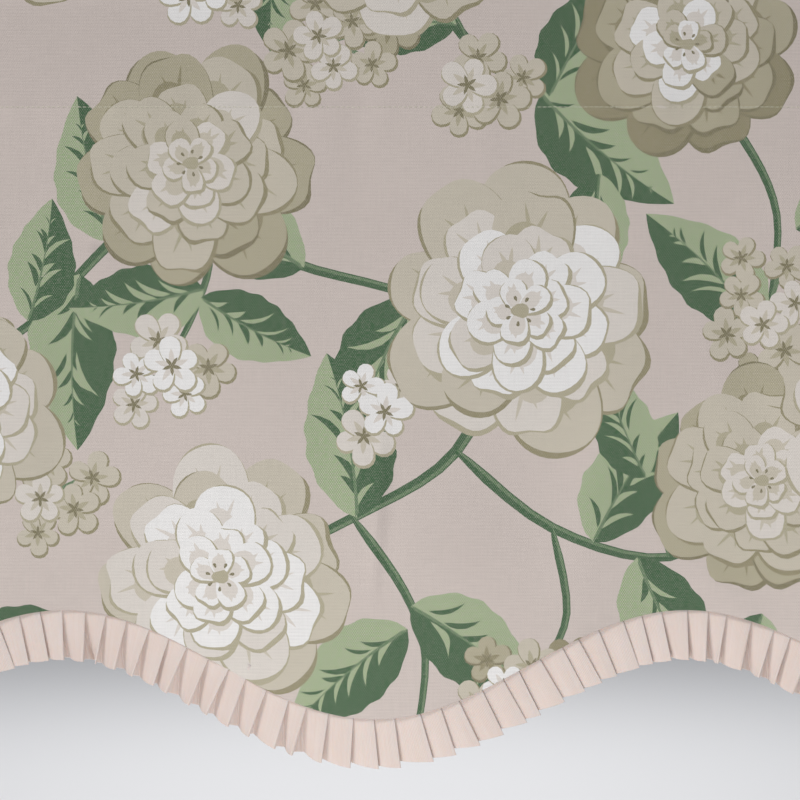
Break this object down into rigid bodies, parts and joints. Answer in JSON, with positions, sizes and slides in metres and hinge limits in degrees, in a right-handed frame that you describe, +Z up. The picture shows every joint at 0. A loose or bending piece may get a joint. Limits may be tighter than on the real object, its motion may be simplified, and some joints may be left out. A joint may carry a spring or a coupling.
{
  "type": "scalloped window valance",
  "caption": "Printed cloth valance with a rod pocket along its top and a knife-pleated ribbon sewn behind its scalloped hem.",
  "frame": {"origin": "on the axis of the rod pocket, at mid width", "axes": "+X along the width, to the viewer's right as seen from the front; +Y from the front of the cloth to its back; +Z up"},
  "size_m": [1.2709, 0.0288, 0.5296],
  "materials": {
    "printed_cloth": "plain-weave cotton and linen, printed with flower heads and leaves on warm grey-beige",
    "ribbed_ribbon": "ribbed peach-cream ribbon, pressed into knife pleats"
  },
  "bodies": {
    "root": {"cloth": "printed_cloth", "pleated_ribbon": "ribbed_ribbon"}
  },
  "joints": []
}
